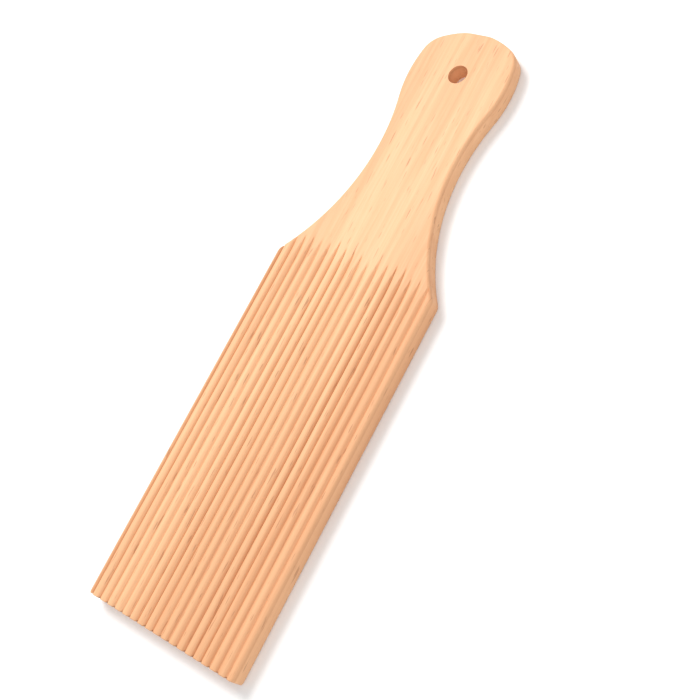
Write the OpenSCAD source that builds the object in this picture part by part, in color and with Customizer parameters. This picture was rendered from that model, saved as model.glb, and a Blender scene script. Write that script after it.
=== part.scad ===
// Ridged beech board for rolling gnocchi: one plank with a grooved blade,
// a waisted handle, a rounded head and a hanging hole.

/* [Plank] */
// Overall length, blade end to top of the head
overall_l = 216.5; // [190:0.5:260]
// Thickness of the plank
thick = 6.5; // [5:0.1:12]

/* [Blade] */
// Width of the blade
blade_w = 62; // [58:0.5:80]
// Radius of the two shoulder corners
shoulder_r = 3.5; // [2:0.1:6]
// Radius of the two corners at the blade's end
end_corner_r = 1.6; // [0.5:0.1:6]
// How far the end is cut back at the underside
end_undercut = 5; // [0.5:0.1:8]

/* [Grooves] */
// Number of grooves
groove_count = 18; // [6:1:18]
// Distance between neighbouring grooves
groove_pitch = 3.4; // [2.8:0.05:3.4]
// Depth of a groove below the ridges
groove_depth = 1.2; // [0.6:0.05:1.4]
// First groove's distance from the blade's left side
groove_margin = 1.2; // [0.6:0.05:3]
// How far the grooves run past the blade's straight sides
groove_reach = 5; // [-20:0.5:10]

/* [Handle] */
// Width at the narrowest place of the waist
waist_w = 30.6; // [26:0.2:36]
// Radius of the hollow that shapes the waist
waist_r = 72; // [60:0.5:90]
// Widest place of the head
head_w = 37.8; // [36.2:0.2:46]
// Radius of the head's sides
head_side_r = 40; // [30:0.5:60]
// Distance of the head's widest place from its top
head_side_drop = 17.7; // [15:0.1:20]
// Radius of the head's two upper corners
head_corner_r = 8; // [5:0.1:10]
// Height of those corners' centres below the top of the head
head_corner_drop = 10.6; // [10.4:0.1:14]

/* [Hanging hole] */
// Diameter of the hanging hole
hole_d = 6.8; // [4:0.1:12]
// Distance of the hole's centre from the top of the head
hole_drop = 16; // [12:0.1:22]

/* [Hidden] */
$fn = 64;
// Overshoot of a cutter past the face that it leaves
past = 1;
// Height at which a groove's two flanks stop short of meeting
floor_flat = 0.05;
// Steps along each arc of the outline
steps = 12;
half_w = blade_w / 2;
// Hollow of the waist and the two convex arcs that it touches
waist_x = waist_w / 2 + waist_r;
shoulder_x = half_w - shoulder_r;
side_x = head_w / 2 - head_side_r;
shoulder_rise = sqrt(pow(waist_r + shoulder_r, 2) - pow(waist_x - shoulder_x, 2));
side_rise = sqrt(pow(waist_r + head_side_r, 2) - pow(waist_x - side_x, 2));
side_y = overall_l - head_side_drop;
waist_y = side_y - side_rise;
blade_l = waist_y - shoulder_rise;
shoulder_a = atan2(shoulder_rise, waist_x - shoulder_x);
side_a = atan2(side_rise, waist_x - side_x);
// Head's corner arc, inside the side arc
corner_y = overall_l - head_corner_drop;
corner_x = side_x + sqrt(pow(head_side_r - head_corner_r, 2) - pow(corner_y - side_y, 2));
corner_a = atan2(corner_y - side_y, corner_x - side_x);
// Crown arc over the top, around both corner arcs
crown_r = (pow(corner_x, 2) + pow(head_corner_drop, 2) - pow(head_corner_r, 2))
    / (2 * (head_corner_drop - head_corner_r));
crown_y = overall_l - crown_r;
crown_a = atan2(corner_y - crown_y, corner_x);
// Ridge between two grooves: an arc from one groove's bottom to the next
ridge_r = (pow(groove_pitch / 2, 2) + pow(groove_depth, 2)) / (2 * groove_depth);

// Middle of groove number i, across the blade
function groove_x(i) = -half_w + groove_margin + i * groove_pitch;

// Points along an arc, without its last one
function arc(c, r, from, to) = [
    for (i = [0 : steps - 1])
        let (a = from + (to - from) * i / steps)
            [c[0] + r * cos(a), c[1] + r * sin(a)]
];

// Right half of the outline, from the blade's end to the top of the head
right_side = concat(
    arc([half_w - end_corner_r, end_corner_r], end_corner_r, -90, 0),
    arc([shoulder_x, blade_l], shoulder_r, 0, shoulder_a),
    arc([waist_x, waist_y], waist_r, 180 + shoulder_a, 180),
    arc([waist_x, waist_y], waist_r, 180, 180 - side_a),
    arc([side_x, side_y], head_side_r, -side_a, corner_a),
    arc([corner_x, corner_y], head_corner_r, corner_a, crown_a),
    arc([0, crown_y], crown_r, crown_a, 90)
);

// Left half, back down to the blade's end
left_side = [for (i = [len(right_side) - 1 : -1 : 0]) [-right_side[i][0], right_side[i][1]]];

module blank() {
    linear_extrude(thick) polygon(concat(right_side, [[0, overall_l]], left_side));
}

// Cross-section of all grooves: x across, y up from the grooves' floor
module comb_section() {
    difference() {
        translate([groove_x(0) - groove_pitch / 2, floor_flat])
            square([groove_count * groove_pitch, groove_depth + past]);
        for (i = [0 : groove_count])
            translate([groove_x(i - 0.5), groove_depth - ridge_r]) circle(ridge_r);
    }
}

module grooves() {
    translate([0, blade_l + groove_reach, thick - groove_depth]) rotate([90, 0, 0])
        linear_extrude(blade_l + groove_reach + past) comb_section();
}

// Wedge below the blade's end that leans its end face back
module undercut() {
    translate([-half_w - past, 0, 0]) rotate([90, 0, 90]) linear_extrude(blade_w + 2 * past)
        polygon([
            [-past - end_undercut, -past], [end_undercut * (1 + past / thick), -past],
            [-end_undercut * past / thick, thick + past], [-past - end_undercut, thick + past]
        ]);
}

module hanging_hole() {
    translate([0, overall_l - hole_drop, -past]) cylinder(d = hole_d, h = thick + 2 * past);
}

module ridged_board() {
    color("burlywood") translate([0, -overall_l / 2, 0]) difference() {
        blank();
        grooves();
        undercut();
        hanging_hole();
    }
}

ridged_board();
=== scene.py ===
"""Looks of a ridged beech gnocchi board: its finished mesh, its wood and the studio."""

import logging
import math
from dataclasses import dataclass
from enum import Enum

import bpy
from mathutils import Euler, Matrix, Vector


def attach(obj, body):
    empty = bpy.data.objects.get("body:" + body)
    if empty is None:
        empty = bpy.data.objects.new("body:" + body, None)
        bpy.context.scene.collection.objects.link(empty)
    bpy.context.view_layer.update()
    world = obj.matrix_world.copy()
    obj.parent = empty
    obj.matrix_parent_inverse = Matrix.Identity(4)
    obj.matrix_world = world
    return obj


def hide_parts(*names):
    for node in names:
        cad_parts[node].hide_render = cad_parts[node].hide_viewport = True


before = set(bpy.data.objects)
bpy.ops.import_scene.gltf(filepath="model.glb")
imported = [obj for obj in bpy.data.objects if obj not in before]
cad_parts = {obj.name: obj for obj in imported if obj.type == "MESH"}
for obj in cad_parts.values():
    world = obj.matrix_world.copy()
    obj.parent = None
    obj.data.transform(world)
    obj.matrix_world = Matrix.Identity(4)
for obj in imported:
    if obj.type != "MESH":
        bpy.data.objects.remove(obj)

Colour = tuple[float, float, float, float]

MM = 0.001
# Places of the Mix node's colour sockets among its sockets of every data type
MIX_FACTOR = 0
MIX_FIRST_COLOUR = 6
MIX_SECOND_COLOUR = 7
MIX_COLOUR_OUT = 2
LOG = logging.getLogger("gnocchi_board")


class Slot(Enum):
    """Material slots of the board's record."""

    BEECH = "beech"


class Socket:
    """One shader socket with arithmetic, so that shader maths reads as an expression."""

    def __init__(self, tree: bpy.types.NodeTree, out: bpy.types.NodeSocket) -> None:
        """Wrap an output socket.

        Args:
            tree: Node tree that the socket is in.
            out: The output socket.
        """
        self.tree = tree
        self.out = out

    def math(self, operation: str, *values: "Socket | float") -> "Socket":
        """Add a Math node.

        Args:
            operation: Name of the Math node's operation.
            values: Its inputs, in order.

        Returns:
            The node's output.
        """
        return make(self.tree, "ShaderNodeMath", {"operation": operation}, dict(enumerate(values)))

    def __add__(self, other: "Socket | float") -> "Socket":
        """Sum."""
        return self.math("ADD", self, other)

    def __mul__(self, other: "Socket | float") -> "Socket":
        """Product."""
        return self.math("MULTIPLY", self, other)

    def __sub__(self, other: "Socket | float") -> "Socket":
        """Difference."""
        return self.math("SUBTRACT", self, other)

    def __rsub__(self, other: float) -> "Socket":
        """Difference with a number in front."""
        return self.math("SUBTRACT", other, self)

    __radd__ = __add__
    __rmul__ = __mul__

    def rise(self, low: float, high: float) -> "Socket":
        """Smooth step from 0 at low to 1 at high.

        Args:
            low: Value at which the step starts.
            high: Value at which the step ends.

        Returns:
            The step.
        """
        return make(
            self.tree, "ShaderNodeMapRange", {"interpolation_type": "SMOOTHSTEP"},
            {"Value": self, "From Min": low, "From Max": high},
        )


def make(
    tree: bpy.types.NodeTree,
    kind: str,
    settings: dict[str, object],
    inputs: dict[object, object],
    output: str | int = 0,
) -> Socket:
    """Add one shader node.

    Args:
        tree: Node tree to add to.
        kind: Type name of the node.
        settings: Properties that are set first.
        inputs: Values or wrapped sockets of its inputs.
        output: Name or index of the output that is wanted.

    Returns:
        The wrapped output.
    """
    node = tree.nodes.new(kind)
    for name, value in settings.items():
        setattr(node, name, value)
    for name, value in inputs.items():
        if isinstance(value, Socket):
            tree.links.new(value.out, node.inputs[name])
        else:
            node.inputs[name].default_value = value
    return Socket(tree, node.outputs[output])


def blend_colour(
    tree: bpy.types.NodeTree, factor: Socket, first: Socket | Colour, second: Socket | Colour
) -> Socket:
    """Mix two colours.

    Args:
        tree: Node tree to add to.
        factor: 0 for the first colour, 1 for the second.
        first: Colour or wrapped socket.
        second: Colour or wrapped socket.

    Returns:
        The mixed colour.
    """
    inputs = {MIX_FACTOR: factor, MIX_FIRST_COLOUR: first, MIX_SECOND_COLOUR: second}
    return make(tree, "ShaderNodeMix", {"data_type": "RGBA"}, inputs, MIX_COLOUR_OUT)


@dataclass(frozen=True)
class Grain:
    """Noise that is stretched along the board, with a smooth threshold."""

    scale: tuple[float, float, float]
    detail: float
    low: float
    high: float

    def build(self, tree: bpy.types.NodeTree, place: Socket) -> Socket:
        """Add the pattern.

        Args:
            tree: Node tree to add to.
            place: Object coordinates.

        Returns:
            The pattern, from 0 to 1.
        """
        stretched = make(
            tree, "ShaderNodeMapping", {}, {"Vector": place, "Scale": self.scale}, "Vector"
        )
        noise = make(
            tree, "ShaderNodeTexNoise", {},
            {"Vector": stretched, "Scale": 1.0, "Detail": self.detail}, "Fac",
        )
        return noise.rise(self.low, self.high)


@dataclass(frozen=True)
class Beech:
    """Bare sanded beech with its grain along Y, and painted shade in the grooves."""

    pale: Colour = (0.86, 0.50, 0.27, 1)
    warm: Colour = (0.66, 0.31, 0.145, 1)
    fleck: Colour = (0.36, 0.14, 0.06, 1)
    # Painted shade: the darker colour laid into the groove floors, where shade falls.
    groove_shade_colour: Colour = (0.50, 0.21, 0.085, 1)
    broad_bands: Grain = Grain((55, 5, 40), 3, 0.34, 0.66)
    stripes: Grain = Grain((420, 9, 300), 4, 0.36, 0.68)
    fibres: Grain = Grain((2600, 60, 1800), 3, 0.3, 0.7)
    flecks: Grain = Grain((1500, 130, 1100), 1, 0.66, 0.74)
    band_share: float = 0.42
    stripe_share: float = 0.34
    fibre_share: float = 0.14
    fleck_share: float = 0.5
    groove_shade_share: float = 0.35
    fleck_dent: float = -0.6
    bump_strength: float = 0.16
    bump_m: float = 0.0002
    roughness: float = 0.58
    fibre_roughness: float = 0.12

    def build(self, top: float, depth: float) -> bpy.types.Material:
        """Make the material.

        Args:
            top: Height of the ridges in metres.
            depth: Depth of the grooves in metres.

        Returns:
            The material.
        """
        material = bpy.data.materials.new("beech")
        material.use_nodes = True
        tree = material.node_tree
        tree.nodes.clear()
        place = make(tree, "ShaderNodeTexCoord", {}, {}, "Object")
        bands = self.broad_bands.build(tree, place)
        stripes = self.stripes.build(tree, place)
        fibres = self.fibres.build(tree, place)
        flecks = self.flecks.build(tree, place)
        toned = bands * self.band_share + stripes * self.stripe_share
        base = blend_colour(tree, toned, self.pale, self.warm)
        base = blend_colour(tree, fibres * self.fibre_share, base, self.warm)
        base = blend_colour(tree, flecks * self.fleck_share, base, self.fleck)
        # Painted shade: the grooves are darkened towards their floors.
        groove_shade = self.groove_shade_mask(tree, place, top, depth)
        base = blend_colour(tree, groove_shade * self.groove_shade_share, base, self.groove_shade_colour)
        bump = make(
            tree, "ShaderNodeBump", {},
            {
                "Height": fibres + flecks * self.fleck_dent,
                "Strength": self.bump_strength,
                "Distance": self.bump_m,
            },
            "Normal",
        )
        shader = make(
            tree, "ShaderNodeBsdfPrincipled", {},
            {
                "Base Color": base,
                "Roughness": fibres * self.fibre_roughness + self.roughness,
                "Normal": bump,
            },
            "BSDF",
        )
        finish = tree.nodes.new("ShaderNodeOutputMaterial")
        tree.links.new(shader.out, finish.inputs["Surface"])
        return material

    def groove_shade_mask(
        self, tree: bpy.types.NodeTree, place: Socket, top: float, depth: float
    ) -> Socket:
        """Mask of the painted shade in the grooves, strongest at their floors.

        Args:
            tree: Node tree to add to.
            place: Object coordinates.
            top: Height of the ridges in metres.
            depth: Depth of the grooves in metres.

        Returns:
            The mask, from 0 to 1.
        """
        height = make(tree, "ShaderNodeSeparateXYZ", {}, {"Vector": place}, "Z")
        below_ridges = 1.0 - height.rise(top - depth, top - 0.25 * depth)
        above_walls = height.rise(top - depth * 1.4, top - depth)
        return below_ridges * above_walls


def leg(hypotenuse: float, other: float) -> float:
    """Remaining leg of a right triangle, 0 where the other leg is too long.

    Args:
        hypotenuse: Longest side.
        other: The known leg.

    Returns:
        Length of the remaining leg.
    """
    return math.sqrt(max(hypotenuse**2 - other**2, 0.0))


@dataclass
class Board:
    """The one plank: ridged blade, waisted handle, rounded head and hanging hole, in millimetres."""

    length: float = 216.5
    thick: float = 6.5
    half_w: float = 31.0
    blade_l: float = 124.5
    shoulder_r: float = 3.5
    end_corner_r: float = 1.6
    undercut: float = 5.0
    pitch: float = 3.4
    depth: float = 1.2
    margin: float = 1.2
    grooves: int = 18
    groove_l: float = 122.5
    cutter_r: float = 60.0
    half_waist: float = 15.3
    waist_r: float = 72.0
    half_head: float = 18.9
    side_r: float = 40.0
    corner_r: float = 8.0
    corner_drop: float = 10.6
    hole_r: float = 3.4
    hole_drop: float = 16.0
    ease: float = 1.1
    columns: int = 190
    edge_strip: float = 0.06
    raggedness: float = 0.8
    ragged_step: float = 2.4
    skew: float = 0.06
    longest_lift: float = 30.0
    wall_share: float = 0.45
    edge_steps: int = 4
    inset_half_w: float = 25.0
    inset_half_l: float = 100.0
    end_band: float = 0.5
    hole_sides: int = 96
    drill_l: float = 30.0
    smooth_angle: float = 32.0

    def outline(self, y: float) -> float:
        """Half-width of the board.

        Args:
            y: Distance from the blade's end.

        Returns:
            Half of the width there.
        """
        waist_x = self.half_waist + self.waist_r
        shoulder_x = self.half_w - self.shoulder_r
        waist_y = self.blade_l + leg(self.waist_r + self.shoulder_r, waist_x - shoulder_x)
        side_x = self.half_head - self.side_r
        side_y = waist_y + leg(self.waist_r + self.side_r, waist_x - side_x)
        corner_y = self.length - self.corner_drop
        corner_x = side_x + leg(self.side_r - self.corner_r, corner_y - side_y)
        crown_r = (corner_x**2 + self.corner_drop**2 - self.corner_r**2) / (
            2 * (self.corner_drop - self.corner_r)
        )
        crown_y = self.length - crown_r
        share = self.waist_r / (self.waist_r + self.shoulder_r)
        shoulder_meet = waist_y + (self.blade_l - waist_y) * share
        side_meet = waist_y + (side_y - waist_y) * self.waist_r / (self.waist_r + self.side_r)
        corner_meet = side_y + (corner_y - side_y) * self.side_r / (self.side_r - self.corner_r)
        crown_meet = crown_y + (corner_y - crown_y) * crown_r / (crown_r - self.corner_r)
        if y < self.end_corner_r:
            inner = self.half_w - self.end_corner_r
            return inner + leg(self.end_corner_r, self.end_corner_r - y)
        if y < self.blade_l:
            return self.half_w
        if y < shoulder_meet:
            return shoulder_x + leg(self.shoulder_r, y - self.blade_l)
        if y < side_meet:
            return waist_x - leg(self.waist_r, y - waist_y)
        if y < corner_meet:
            return side_x + leg(self.side_r, y - side_y)
        if y < crown_meet:
            return corner_x + leg(self.corner_r, y - corner_y)
        return leg(crown_r, y - crown_y)

    def stations(self) -> list[float]:
        """Distances of the mesh's rows from the blade's end, closer at both ends and shoulders.

        Returns:
            The rising distances.
        """
        end_rows, blade_rows, shoulder_rows, handle_rows, head_rows = 8, 130, 16, 90, 60
        quarter = math.pi / 2
        blade = self.blade_l - self.end_corner_r
        handle_start = self.blade_l + self.shoulder_r
        handle = self.length - self.corner_drop - handle_start
        head_start = handle_start + handle
        return [
            *(self.end_corner_r * (1 - math.cos(quarter * i / end_rows)) for i in range(end_rows)),
            *(self.end_corner_r + blade * i / blade_rows for i in range(blade_rows)),
            *(
                self.blade_l + self.shoulder_r * math.sin(quarter * i / shoulder_rows)
                for i in range(shoulder_rows)
            ),
            *(handle_start + handle * i / handle_rows for i in range(handle_rows)),
            *(
                head_start + self.corner_drop * math.sin(quarter * i / head_rows)
                for i in range(head_rows + 1)
            ),
        ]

    def ridge_sink(self, x: float, y: float) -> float:
        """How far the top face lies below the plank's top.

        Args:
            x: Distance from the middle line.
            y: Distance from the blade's end.

        Returns:
            The depth, 0 on the plain wood.
        """
        first = -self.half_w + self.margin
        number = (x - first) / self.pitch
        if number < -0.5 or number > self.grooves - 0.5:
            return 0.0
        bead_r = ((self.pitch / 2) ** 2 + self.depth**2) / (2 * self.depth)
        across = (number % 1.0 - 0.5) * self.pitch
        section = bead_r - leg(bead_r, across)
        ragged = self.raggedness * math.sin(round(number) * self.ragged_step)
        run = min(max(y - self.groove_l - ragged + self.skew * x, 0.0), self.longest_lift)
        lift = self.cutter_r - leg(self.cutter_r, run)
        return max(section - lift, 0.0)

    def eased(self, inside: float) -> float:
        """How far a face sinks near the outline, for the rounded edge.

        Args:
            inside: Distance from the outline.

        Returns:
            The sink.
        """
        if inside >= self.ease:
            return 0.0
        return self.ease - leg(self.ease, self.ease - inside)

    def build(self, material: bpy.types.Material) -> bpy.types.Object:
        """Model the board as one closed mesh.

        Args:
            material: The wood.

        Returns:
            The board.
        """
        rows = self.stations()
        bpy.ops.object.select_all(action="DESELECT")
        bpy.ops.mesh.primitive_grid_add(
            x_subdivisions=self.columns, y_subdivisions=len(rows) - 1, size=1, location=(0, 0, 0)
        )
        board = bpy.context.object
        board.name = "ridged_board_wood"
        for vertex in board.data.vertices:
            row, column = divmod(vertex.index, self.columns + 1)
            y = rows[row]
            half = self.outline(y)
            x = self.column_x(column / self.columns * 2 - 1, half)
            inside = min(half - abs(x), y, self.length - y)
            sink = max(self.ridge_sink(x, y), self.eased(inside))
            vertex.co = Vector((x, y - self.length / 2, self.thick - sink)) * MM
        self.close(board)
        self.lean_end(board)
        self.drill(board)
        bpy.ops.object.shade_smooth_by_angle(angle=math.radians(self.smooth_angle))
        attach(board, "root")
        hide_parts("ridged_board")
        board.data.materials.clear()
        board.data.materials.append(material)
        return board

    def column_x(self, turn: float, half: float) -> float:
        """Place of one of the mesh's columns, closer together at the eased edges.

        Args:
            turn: The column's place in the mesh, -1 on the left to 1 on the right.
            half: Half-width of the board at the row.

        Returns:
            Distance from the middle line.
        """
        flat = max(half - self.ease, 0.0)
        inner = 1 - self.edge_strip
        if abs(turn) > inner:
            share = (abs(turn) - inner) / self.edge_strip
            reach = flat + (half - flat) * math.sin(math.pi / 2 * share)
        else:
            reach = min(abs(turn) / inner * (self.half_w - self.ease), flat)
        return math.copysign(reach, turn)

    def close(self, board: bpy.types.Object) -> None:
        """Give the top face its walls, lower edge and underside.

        Args:
            board: The shaped top face.
        """
        weld_m = 0.000004
        bpy.ops.object.mode_set(mode="EDIT")
        bpy.ops.mesh.select_all(action="SELECT")
        bpy.ops.mesh.remove_doubles(threshold=weld_m)
        bpy.ops.mesh.select_all(action="SELECT")
        bpy.ops.mesh.normals_make_consistent(inside=False)
        bpy.ops.mesh.select_all(action="DESELECT")
        bpy.ops.mesh.select_mode(type="EDGE")
        bpy.ops.mesh.select_non_manifold()
        down = {"value": (0, 0, -self.thick * self.wall_share * MM)}
        bpy.ops.mesh.extrude_region_move(TRANSFORM_OT_translate=down)
        bpy.ops.mesh.extrude_region_move(TRANSFORM_OT_translate=down)
        foot = self.ease * MM
        self.level(board, foot)
        for step in range(1, self.edge_steps + 1):
            before = math.pi / 2 * (step - 1) / self.edge_steps
            angle = math.pi / 2 * step / self.edge_steps
            bpy.ops.mesh.extrude_region_move()
            self.level(board, foot * (1 - math.sin(angle)))
            shrink = self.ease * (math.cos(before) - math.cos(angle))
            bpy.ops.transform.resize(
                value=(1 - shrink / self.inset_half_w, 1 - shrink / self.inset_half_l, 1)
            )
        bpy.ops.mesh.edge_face_add()
        bpy.ops.mesh.select_all(action="SELECT")
        bpy.ops.mesh.normals_make_consistent(inside=False)
        bpy.ops.object.mode_set(mode="OBJECT")

    def level(self, board: bpy.types.Object, height: float) -> None:
        """Bring the selected vertices to one height, and stay in edit mode.

        Args:
            board: The board.
            height: Their height in metres.
        """
        bpy.ops.object.mode_set(mode="OBJECT")
        for vertex in board.data.vertices:
            if vertex.select:
                vertex.co.z = height
        bpy.ops.object.mode_set(mode="EDIT")

    def lean_end(self, board: bpy.types.Object) -> None:
        """Lean the blade's end back towards the underside.

        Args:
            board: The closed board.
        """
        slope = self.undercut / self.thick
        limit = (self.end_band - self.length / 2) * MM
        for vertex in board.data.vertices:
            if vertex.co.y < limit:
                vertex.co.y += (self.thick * MM - vertex.co.z) * slope

    def drill(self, board: bpy.types.Object) -> None:
        """Cut the hanging hole.

        Args:
            board: The closed board.
        """
        bpy.ops.object.select_all(action="DESELECT")
        bpy.ops.mesh.primitive_cylinder_add(
            vertices=self.hole_sides,
            radius=self.hole_r * MM,
            depth=self.drill_l * MM,
            location=(0, (self.length / 2 - self.hole_drop) * MM, self.thick / 2 * MM),
        )
        bit = bpy.context.object
        cut = board.modifiers.new("hole", "BOOLEAN")
        cut.operation = "DIFFERENCE"
        cut.object = bit
        bpy.ops.object.select_all(action="DESELECT")
        board.select_set(True)
        bpy.context.view_layer.objects.active = board
        bpy.ops.object.modifier_apply(modifier=cut.name)
        bpy.data.objects.remove(bit)


@dataclass
class Studio:
    """Camera, lights, floor and background."""

    lens: float = 61.75
    camera: tuple[float, float, float] = (216.0, -67.0, 305.0)
    turn: tuple[float, float, float] = (0.202254618, 0.586939463, 0.37487666)
    sensor_w: float = 36.0
    nearest: float = 0.01
    key_place: tuple[float, float, float] = (-0.55, 0.35, 0.75)
    key_watts: float = 9.0
    key_size: float = 0.5
    fill_place: tuple[float, float, float] = (0.6, -0.3, 0.8)
    fill_watts: float = 3.5
    fill_size: float = 0.8
    floor_size: float = 6.0
    floor_grey: float = 0.93
    floor_roughness: float = 0.9
    sky_strength: float = 0.55

    def build(self) -> None:
        """Place everything."""
        scene = bpy.context.scene
        scene.view_settings.view_transform = "Standard"
        self.add_camera(scene)
        self.add_floor()
        self.add_light("key", self.key_place, self.key_watts, self.key_size)
        self.add_light("fill", self.fill_place, self.fill_watts, self.fill_size)
        self.add_world(scene)

    def add_camera(self, scene: bpy.types.Scene) -> None:
        """Camera where the photographer stood.

        Args:
            scene: Scene that gets the camera.
        """
        data = bpy.data.cameras.new("camera")
        data.lens = self.lens
        data.sensor_width = self.sensor_w
        data.clip_start = self.nearest
        holder = bpy.data.objects.new("camera", data)
        scene.collection.objects.link(holder)
        holder.location = Vector(self.camera) * MM
        holder.rotation_mode = "ZYX"
        holder.rotation_euler = Euler(self.turn, "ZYX")
        scene.camera = holder

    def add_floor(self) -> None:
        """Plain pale floor below the board."""
        bpy.ops.mesh.primitive_plane_add(size=self.floor_size, location=(0, 0, 0))
        floor = bpy.context.object
        floor.name = "floor"
        material = bpy.data.materials.new("floor")
        material.use_nodes = True
        shader = material.node_tree.nodes["Principled BSDF"]
        shader.inputs["Base Color"].default_value = (*[self.floor_grey] * 3, 1)
        shader.inputs["Roughness"].default_value = self.floor_roughness
        floor.data.materials.append(material)

    def add_light(
        self, name: str, place: tuple[float, float, float], power: float, size: float
    ) -> None:
        """Soft area light that faces the board.

        Args:
            name: Name of the light.
            place: Where it hangs, in metres.
            power: Watts.
            size: Edge length in metres.
        """
        data = bpy.data.lights.new(name, "AREA")
        data.energy = power
        data.size = size
        light = bpy.data.objects.new(name, data)
        bpy.context.scene.collection.objects.link(light)
        light.location = place
        light.rotation_euler = (-Vector(place)).to_track_quat("-Z", "Y").to_euler()

    def add_world(self, scene: bpy.types.Scene) -> None:
        """White background with soft light.

        Args:
            scene: Scene that gets the world.
        """
        world = bpy.data.worlds.new("world")
        world.use_nodes = True
        sky = world.node_tree.nodes["Background"]
        sky.inputs["Color"].default_value = (1, 1, 1, 1)
        sky.inputs["Strength"].default_value = self.sky_strength
        scene.world = world


def main() -> None:
    """Build the board and its studio."""
    logging.basicConfig(level=logging.INFO)
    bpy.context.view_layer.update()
    board = Board()
    wood = Beech().build(board.thick * MM, board.depth * MM)
    piece = board.build(wood)
    LOG.info("board: %d vertices", len(piece.data.vertices))
    Studio().build()


if __name__ == "__main__":
    main()
